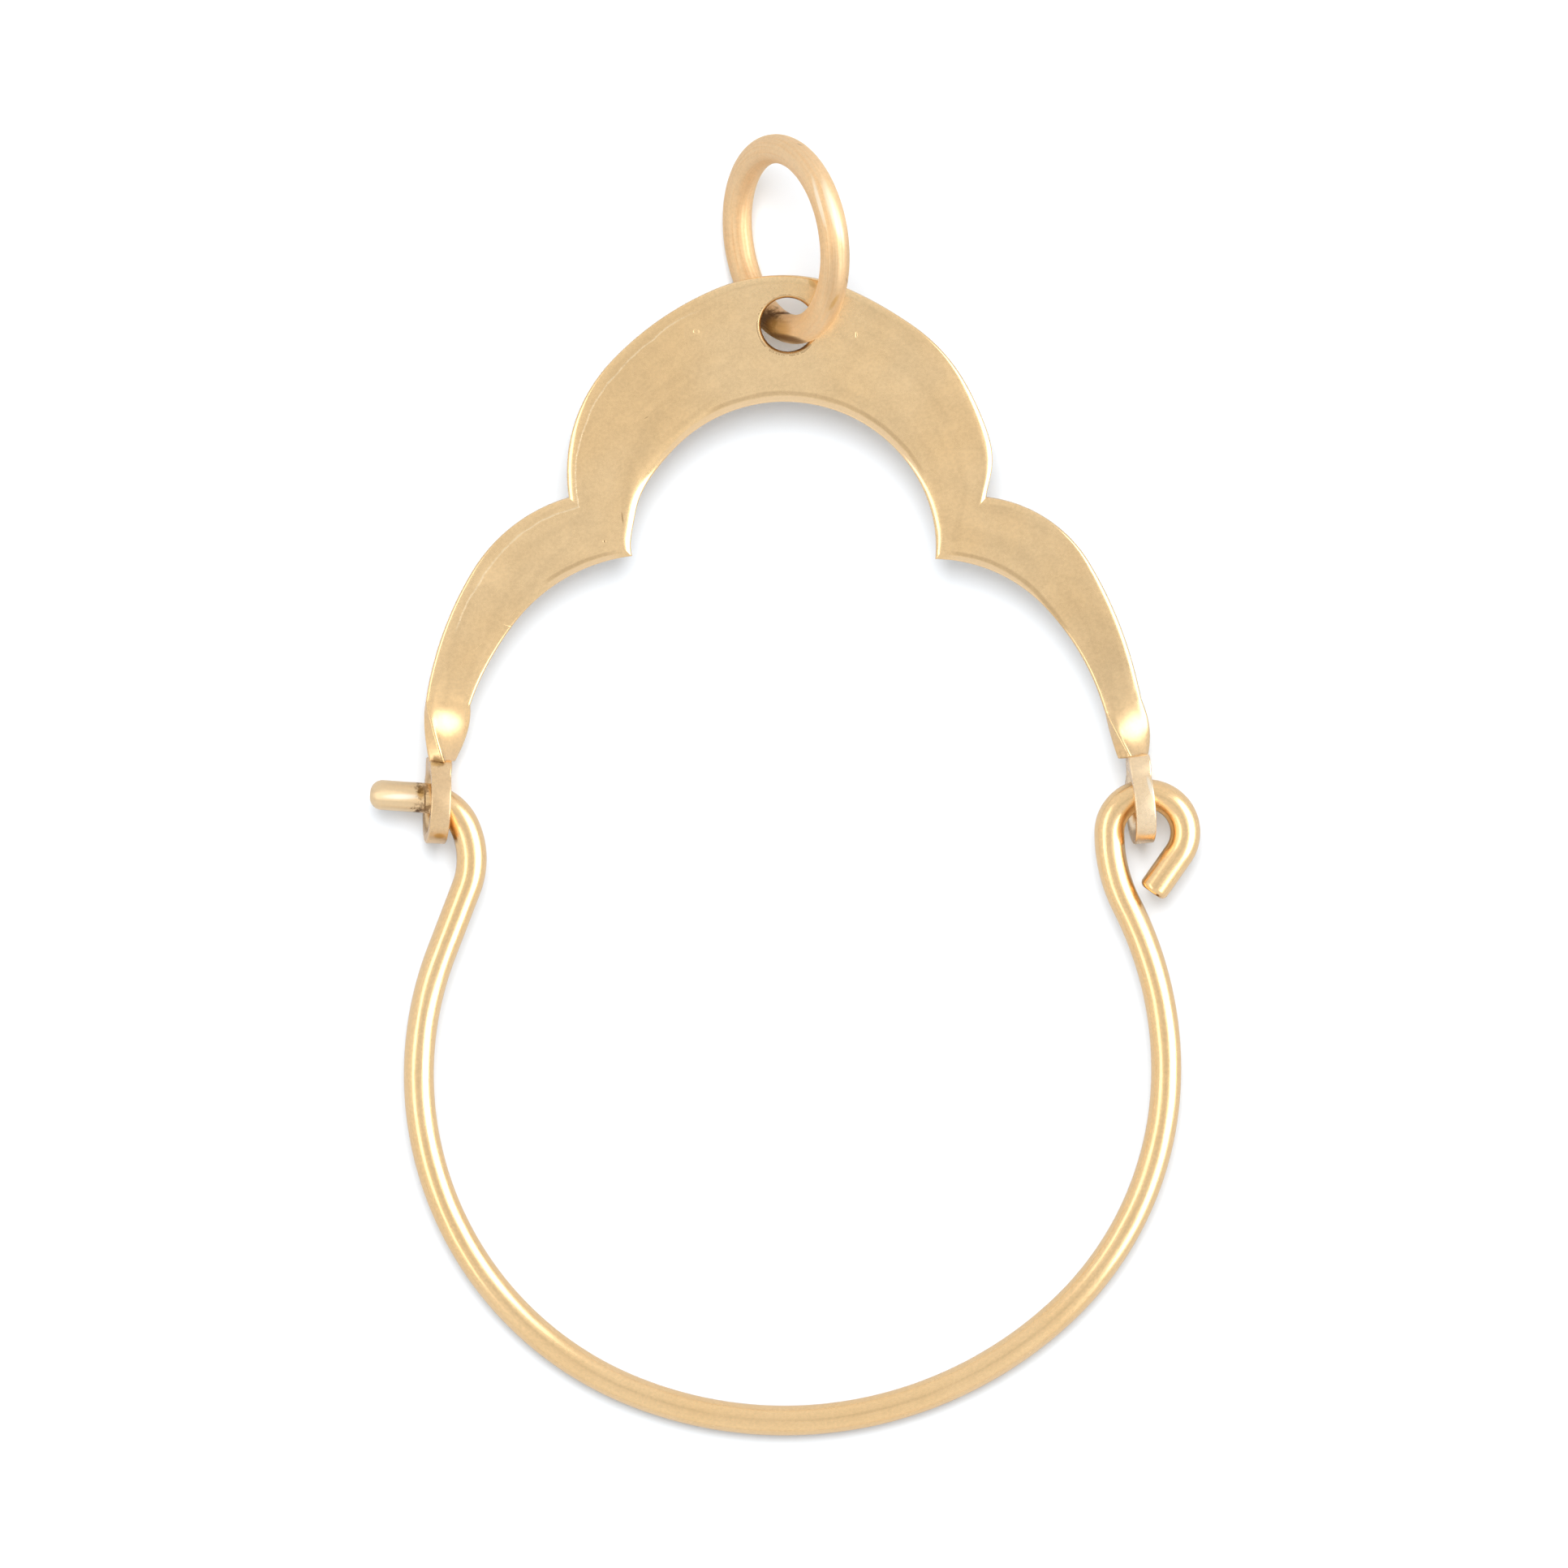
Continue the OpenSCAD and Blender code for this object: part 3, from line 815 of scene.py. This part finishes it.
# %% Marks, residue and painted light
def add_marks(gold, marks):
    """Single dents, stains, and painted highlights, reflections and shade: each has a place on the
    drawing, a turn, half a length and half a width in mm, a depth (below zero it stands out), and
    how far it takes on a colour."""
    for at, turn, length, breadth, depth, dark, colour in marks:
        mark_mask = use(gold.tree, mark, Vector=gold.place, Place=gold.spot(*at), Turn=turn,
                   Length=length * MM, Width=breadth * MM)
        gold.lift(mark_mask, -depth)
        gold.tint(mark_mask, dark, colour)


def add_residue_and_shade(gold, residues):
    """Speckled dull darkening round each place, dirt at some places and painted shade at others: its
    reach in mm, its speckle and its strength.
    """
    tree = gold.tree
    for at, reach, speckle, strength in residues:
        darkening = use(tree, residue_and_shade, Vector=gold.place, Place=gold.spot(*at), Reach=reach * MM,
                   Speckle=speckle)
        darkening = times(tree, darkening, strength)
        gold.shade = blend_in(tree, darkening, gold.shade, RESIDUE_AND_SHADE)
        gold.rough = plus(tree, gold.rough, times(tree, darkening, 0.3))


# %% [markdown]
# ## Lines that run along the sheet
# The real sheet has lines that follow its edges: a burr, a scored line from the punch and rubbed
# shoulders. The burr gets a painted pale sheen, the scored line painted shade, and the band between
# it and the edge a painted rosy reflection. The grain attribute holds each point's distance from
# both edges, so a line is a smooth step in that distance, and steps in the length start and end
# it. It wanders a little with slow noise.

# %% Places along the band
def run_at(share):
    """Length along the band at a share: 0 at the middle, -1 and 1 at the arms' ends."""
    return float(lengths[middle_row + round(share * (LOBE_POINTS + ARM_POINTS - 2)), 0])


def along_span(gold, start, stop, fade_in, fade_out):
    """1 between two shares of the band, with fades of these lengths in mm."""
    low, high = run_at(start), run_at(stop)
    return times(gold.tree, between(gold.tree, gold.along, low, low + fade_in),
                 between(gold.tree, gold.along, high, high - fade_out))


# %% Slow bands of tone, painted light and shade
def add_bands(gold):
    """Dims the sheet in long slow bands, painted for the reflections of a slightly uneven sheet, and
    a little more down the right arm as painted shade.
    """
    tree = gold.tree
    gold.along, gold.outer_d, gold.inner_d = gold.read_grain()
    bands = streaks(tree, gold.run, (0.22, 1.6, 0.0), 2.0)
    # Painted shade: the right arm darkens towards its end.
    fade = between(tree, gold.along, run_at(0.42), run_at(0.95), 1.0, 0.91)
    light = times(tree, between(tree, bands, 0.42, 0.68, 1.02, 0.95), fade)
    gold.shade = lit(tree, gold.shade, light)
    gold.wave = noise(tree, gold.run, 0.9, 3.0)
    gold.wander = times(tree, minus(tree, gold.wave, 0.5), 0.3)


# %% Burr beside the left outer edge
BURR_LINE = 0.42


def add_burr(gold):
    """A raised line at BURR_LINE from the edge, painted pale as a sheen, broken up by the fine
    specks.
    """
    tree = gold.tree
    off = minus(tree, plus(tree, gold.outer_d, gold.wander), BURR_LINE)
    here = along_span(gold, -0.87, -0.12, 0.5, 1.5)
    broken = between(tree, gold.fine, 0.3, 0.6, 0.4, 1.0)
    burr = times(tree, between(tree, maths("ABSOLUTE", tree, off), 0.045, 0.0),
                 times(tree, here, broken))
    gold.lift(burr, 1.6)
    # Painted sheen: the pale tint stands for light the raised line catches.
    gold.tint(burr, 0.6, PALE_SHEEN)


# %% Scored line inside the arch, with painted shade and a painted rosy reflection
SCORE_LINE, SCORE_END = 0.31, 0.06
SCORE_SPANS = [(-0.18, 0.36), (0.53, 0.84), (-0.72, -0.53)]


def add_score(gold):
    """A groove at SCORE_LINE from the inner edge, which runs out to SCORE_END on the right arm and
    is darkened as painted shade, and a painted rosy reflection between it and the edge."""
    tree = gold.tree
    offset = between(tree, gold.along, run_at(0.6), run_at(0.85), SCORE_LINE, SCORE_END)
    off = minus(tree, gold.inner_d, plus(tree, offset, times(tree, gold.wander, 0.25)))
    spans = [along_span(gold, start, stop, 0.8, 0.8) for start, stop in SCORE_SPANS]
    here = plus(tree, plus(tree, spans[0], spans[1]), spans[2])
    score = times(tree, between(tree, maths("ABSOLUTE", tree, off), 0.12, 0.03), here)
    gold.lift(score, -0.9)
    # Painted shade: the groove is darkened where the shoulder meets the flat face.
    gold.tint(score, 0.26, RESIDUE_AND_SHADE)
    arch = along_span(gold, -0.34, 0.38, 2, 2)
    # Painted reflection: a rosy tint between the scored line and the edge.
    rosy_sheen = times(tree, between(tree, off, -0.06, -0.14), maths("MAXIMUM", tree, arch, here))
    gold.tint(rosy_sheen, 0.6, ROSE_SHEEN)


# %% Rubbed shoulders and a darker hole wall
TWIST_DULL = 1.2


def add_rubbing(gold):
    """Rubs both shoulders smoother, but less from TWIST_DULL mm before the twists. The hole's
    wall, where the length is below zero, is darker in patches."""
    tree, along = gold.tree, gold.along
    start, stop = run_at(-1), run_at(1)
    twisted = plus(tree, between(tree, along, start + TWIST_DULL, start),
                   between(tree, along, stop - TWIST_DULL, stop))
    rubbed = between(tree, maths("MINIMUM", tree, gold.outer_d, gold.inner_d), 0.33, 0.14)
    rubbed = minus(tree, rubbed, times(tree, twisted, 0.8))
    gold.rough = times(tree, gold.rough, maths("MULTIPLY_ADD", tree, rubbed, -0.5, 1.0))
    patches = between(tree, gold.wave, 0.35, 0.65, 0.1, 0.45)
    gold.tint(between(tree, along, -1.0, -3.0), patches, RESIDUE_AND_SHADE)


# %% [markdown]
# ## Sheet and eyelets, finished
# Single dents, stains and solder make a part look used, so each one that shows on the real sheet
# has its own row here. A few rows are painted highlights and reflections instead. The two eyelets
# are a little paler or darker than the sheet.

# %% Sheet and eyelet materials
SHEET_BUMP = 3.0e-6
hole_darkening = ((HOLE[0] - 0.15, HOLE[1] - 0.1, -0.2), 1.12, 0.25, 0.45)
left_solder = ((-11.82, 1.5, 0.66), 0.34, 1.6, 0.6)
right_solder = ((11.66, 1.62, 0.45), 0.3, 1.6, 0.45)
SHEET_MARKS = [
    ((-3.01, 16.14), 0.3, 0.13, 0.1, 5, 0, RESIDUE_AND_SHADE),
    ((2.46, 16.03), 1.5, 0.13, 0.04, 2.5, 0.2, RESIDUE_AND_SHADE),
    ((-5.54, 9.78), 1.45, 0.26, 0.045, 1, 0.45, RESIDUE_AND_SHADE),
    ((-6.15, 8.97), 0, 0.06, 0.06, 3, 0.5, RESIDUE_AND_SHADE),
    ((-4.72, 13.2), -0.5, 0.12, 0.03, 2, 0.35, RESIDUE_AND_SHADE),
    ((-9.72, 6.2), 0.35, 0.46, 0.035, 3, 0, RESIDUE_AND_SHADE),
    ((-9.3, 4.9), -1.1, 0.42, 0.03, 2.5, 0, RESIDUE_AND_SHADE),
    ((-10.4, 5.4), -0.7, 0.3, 0.03, 2.5, 0.1, RESIDUE_AND_SHADE),
    # Painted reflection of the jump ring, amber on the sheet above the hole.
    ((0.95, 17.78), 0.9, 0.24, 0.13, 0, 0.6, AMBER),
    ((-11.85, 1.42), 0, 0.33, 0.13, 0, 0.7, AMBER)]
gold = brushed("sheet_gold", 0.27)
for add in (add_bands, add_burr, add_score, add_rubbing):
    add(gold)
add_marks(gold, SHEET_MARKS)
add_residue_and_shade(gold, [hole_darkening, left_solder, right_solder])
gold.dress(sheet, SHEET_BUMP)

EYELET_GOLD = {"left": (0.8, 0.6, 0.38, 1), "right": (0.955, 0.785, 0.56, 1)}
EYELET_MARKS = [
    # Painted reflection of the bow, amber on the left eyelet's lower lug.
    ((-11.8, -1.12), 0, 0.24, 0.12, 0, 0.85, AMBER),
    ((-11.85, 1.36), 0, 0.33, 0.13, 0, 0.7, AMBER),
    # Painted highlight down the right eyelet's right edge.
    ((12.51, 0.53), 1.28, 0.5, 0.09, 0, 0.7, WHITE_HIGHLIGHT)]
for side, piece in eyelets.items():
    gold = brushed("eyelet_gold_" + side, 0.28, EYELET_GOLD[side])
    add_marks(gold, EYELET_MARKS)
    add_residue_and_shade(gold, [left_solder, right_solder])
    gold.dress(piece, SHEET_BUMP)

# %% [markdown]
# ## Bow and ring, finished
# Wire is pulled through a die, which leaves fine lines along it. Noise drawn out along the wire's
# own length gives them. Longer, deeper waves stand for bends from the pliers on the bow and for
# worn flats on the ring, and both break up the highlights.

# %% Drawn wire
WIRE_BUMP = 4e-6


def drawn(name, colour, rough, streak):
    """Wire whose roughness goes from rough up by streak in fine lines along its length."""
    gold = Gold(name, colour, rough, (0.95, 1.05))
    tree = gold.tree
    gold.length = gold.read_grain()[0]
    lines = streaks(tree, gold.run, (0.3, 12.0, 12.0), 4.0, 0.7)
    soft = noise(tree, gold.place, 1200.0, 4.0, 0.55)
    gold.rough = plus(tree, between(tree, lines, 0.3, 0.75, rough, rough + streak),
                      between(tree, soft, 0.4, 0.8, 0.0, 0.06))
    gold.height = times(tree, lines, 0.8)
    gold.lift(soft, 0.5)
    gold.lift(gold.fine, 0.12)
    return gold


# %% Bow material
# The stub was filed round. Its rings spread light along the wire, so a streak runs down it. A
# painted pale sheen and a painted white streak make it brighter still.
STUB_END, STUB_ROUGH = 1.75, 0.32
gold = drawn("bow_gold", BOW_GOLD, 0.175, 0.1)
tree = gold.tree
gold.lift(streaks(tree, gold.run, (0.3, 0.7, 0.7), 1.0), 14.0)
filed = between(tree, gold.length, STUB_END + 0.3, STUB_END)
rings = streaks(tree, gold.run, (18.0, 1.2, 1.2), 3.0, 0.75)
gold.lift(times(tree, rings, filed), 2.2)
gold.rough = maths("MAXIMUM", tree, gold.rough, times(tree, filed, STUB_ROUGH))
# Painted sheen: a pale tint brightens the filed stub.
gold.tint(filed, 0.4, PALE_SHEEN)
tree.links.new(filed, gold.shader.inputs["Anisotropic"])
tree.links.new(put(tree, "CombineXYZ", X=1.0).outputs[0], gold.shader.inputs["Tangent"])
gold.body = "bow"
add_marks(gold, [
    # Painted highlight: a white streak down the stub.
    ((-13.1, 0.22), 0, 0.8, 0.12, 0, 0.8, WHITE_HIGHLIGHT),
    # Painted reflection of the eyelet, amber on the stub beside it.
    ((-12.43, 0.36), 0, 0.17, 0.3, 0, 0.85, AMBER),
    # Painted shadow: a thin dark line in the gap where the stub enters the eyelet.
    ((-12.29, 0.1), 0, 0.035, 0.5, 0, 0.9, RESIDUE_AND_SHADE),
    ((-11.28, -1.2), 1.1, 0.25, 0.1, 0, 0.6, RESIDUE_AND_SHADE),
    ((-14.09, -0.12), 0.3, 0.07, 0.05, 2, 0.9, RESIDUE_AND_SHADE),
    ((12.77, -3.16), 0.6, 0.08, 0.04, 2, 0.9, RESIDUE_AND_SHADE)])
add_residue_and_shade(gold, [
    ((-12.35, -0.2, 0.35), 0.34, 3, 0.7),
    ((-12.55, -0.42, 0.2), 0.32, 4, 0.7),
    ((-12.35, 0.45, 0.3), 0.3, 4, 0.6)])
gold.dress(bow, WIRE_BUMP)

# %% Ring material
gold = drawn("ring_gold", RING_GOLD, 0.46, 0.34)
gold.lift(streaks(gold.tree, gold.run, (0.35, 2.6, 2.6), 2.0), 5.0)
# Painted shade: the ring darkens where it passes under the sheet in the hole.
add_residue_and_shade(gold, [((HOLE[0] - 0.68, HOLE[1] - 0.02, -0.2), 0.85, 1.2, 0.85)])
add_marks(gold, [
    # Painted shade in the hole: an amber-brown patch and dark lines along the hole's edges.
    ((HOLE[0] - 0.35, HOLE[1] - 0.15), 0.3, 0.6, 0.5, 0, 0.7, AMBER),
    ((0, 16.78), 0, 0.42, 0.06, 0, 0.85, RESIDUE_AND_SHADE),
    ((0.2, 15.87), 0.29, 0.85, 0.15, 0, 0.85, RESIDUE_AND_SHADE),
    # Painted shade that ends the right strand's highlight early.
    ((1.9, 17.9), -1.45, 2.1, 0.65, 0, 0.26, RESIDUE_AND_SHADE),
    # Painted highlights: two whiter streaks at the top of the right strand.
    ((1.65, 20.15), -1.88, 1.4, 0.2, 0, 0.55, WHITE_HIGHLIGHT),
    ((1.17, 20.45), -1.83, 1.1, 0.09, 0, 0.6, WHITE_HIGHLIGHT),
    # Painted reflection of the sheet, amber near the right strand's lower end.
    ((1.68, 17.06), -1, 0.4, 0.09, 0, 0.6, AMBER),
    ((0.51, 22.5, 1), 0.4, 0.12, 0.03, 3, 0.3, RESIDUE_AND_SHADE),
    ((2.12, 17.83, 1), 1.3, 0.14, 0.03, 3, 0.3, RESIDUE_AND_SHADE)])
gold.dress(jump_ring, WIRE_BUMP)

# %% [markdown]
# ## Table, lights and camera
# The holder lies on a white table under a bright tent. Polished metal shows what is round it, so
# the lights follow from what the wire shows: a broad bright window on the right, a narrow one on
# the left, an even tent, and a slightly darker patch overhead where the camera is.

# %% White table
# The camera sees the paper overexposed, so only the deepest shade shows.
TABLE_R, TABLE_CORNERS = 0.8, 96
TABLE_GAIN, TABLE_ALBEDO, PAPER_GRAIN = 0.83, 0.56, 0.01
table_mesh = bpy.data.meshes.new("table")
a = full_turn(TABLE_CORNERS)
ring = np.stack([np.cos(a), np.sin(a), 0 * a], 1) * TABLE_R
table_mesh.from_pydata(ring, [], [list(range(TABLE_CORNERS))])
table = bpy.data.objects.new("table", table_mesh)
bpy.context.scene.collection.objects.link(table)
white = bpy.data.materials.new("table_white")
white.use_nodes = True
tree = white.node_tree
paper = noise(tree, put(tree, "TexCoord").outputs["Object"], 60.0, 2.0)
seen = between(tree, paper, 0.3, 0.7, TABLE_GAIN - PAPER_GRAIN, TABLE_GAIN + PAPER_GRAIN)
camera_ray = put(tree, "LightPath").outputs["Is Camera Ray"]
level = put(tree, "Mix", {"data_type": "FLOAT"}, i0=camera_ray, i2=TABLE_ALBEDO, i3=seen).outputs[0]
more_green = maths("MULTIPLY_ADD", tree, camera_ray, 0.04, 1.02)
more_blue = maths("MULTIPLY_ADD", tree, camera_ray, 0.055, 1.07)
cool = put(tree, "CombineColor", Red=level, Green=times(tree, level, more_green),
           Blue=times(tree, level, more_blue)).outputs[0]
matt = put(tree, "BsdfDiffuse", Color=cool)
tree.links.new(matt.outputs[0], tree.nodes["Material Output"].inputs["Surface"])
tree.nodes.remove(tree.nodes["Principled BSDF"])
table_mesh.materials.append(white)

# %% Tent
world = bpy.data.worlds.new("tent")
bpy.context.scene.world = world
world.use_nodes = True
tree = world.node_tree
direction = put(tree, "TexCoord").outputs["Generated"]
ramp = put(tree, "ValToRGB", Fac=put(tree, "SeparateXYZ", Vector=direction).outputs["Z"])
stops = ramp.color_ramp.elements
stops[0].color, stops[1].color = (0.86, 0.83, 0.8, 1), (0.66, 0.65, 0.64, 1)
for place, grey in ((0.35, 0.93), (0.75, 0.87), (0.965, 0.84), (0.99, 0.78)):
    stops.new(place).color = (grey, grey * 0.99, grey * 0.98, 1)
tree.links.new(ramp.outputs[0], tree.nodes["Background"].inputs["Color"])

# %% Windows
LAMP_DISTANCE = 0.5


def window(name, azimuth, polar, wide, high, glow, colour):
    """An oval light of radiance glow, seen from the holder at that azimuth and angle from above."""
    light = bpy.data.lights.new(name, "AREA")
    light.shape, light.size, light.size_y = "ELLIPSE", wide, high
    light.energy = glow * math.pi * wide * high * math.pi / 4
    lamp = bpy.data.objects.new(name, light)
    bpy.context.scene.collection.objects.link(lamp)
    a, p = math.radians(azimuth), math.radians(polar)
    back = np.array([math.sin(p) * math.cos(a), math.sin(p) * math.sin(a), math.cos(p)])
    lamp.location = back * LAMP_DISTANCE
    side = np.array([-math.sin(a), math.cos(a), 0])
    rows = np.stack([side, np.cross(back, side), back], 1)
    lamp.rotation_mode = "QUATERNION"
    lamp.rotation_quaternion = Matrix(rows.tolist()).to_quaternion()
    light.color = colour
    lamp.visible_diffuse = lamp.visible_camera = False
    return lamp


window("right_window", azimuth=1, polar=54, wide=0.7, high=0.48, glow=2.6, colour=(1, 0.99, 0.97))
window("left_window", azimuth=186, polar=41, wide=0.5, high=0.15, glow=1.7, colour=(1, 0.96, 0.9))
fill = window("top_fill", azimuth=90, polar=18, wide=0.3, high=0.3, glow=8.4, colour=(1, 1, 1))
fill.visible_diffuse, fill.visible_glossy = True, False
print("lights:", [light.name for light in bpy.data.lights])

# %% Camera over the table
PIXELS, PIXELS_PER_MM = 1932, 36.0
ZERO_PIXEL = (966.5, 989.0)
LENS, SENSOR = 400.0, 36.0
view_mm = PIXELS / PIXELS_PER_MM
camera = bpy.data.objects.new("camera", bpy.data.cameras.new("camera"))
camera.data.lens, camera.data.sensor_width = LENS, SENSOR
camera.location = ((HINGE[0] + (PIXELS / 2 - ZERO_PIXEL[0]) / PIXELS_PER_MM) * MM,
                   (HINGE[1] + (ZERO_PIXEL[1] - PIXELS / 2) / PIXELS_PER_MM) * MM,
                   (view_mm * LENS / SENSOR + HINGE[2]) * MM)
bpy.context.scene.collection.objects.link(camera)
bpy.context.scene.camera = camera
bpy.context.scene.view_settings.view_transform = "Standard"
print("camera height in mm:", round(camera.location.z / MM, 1))
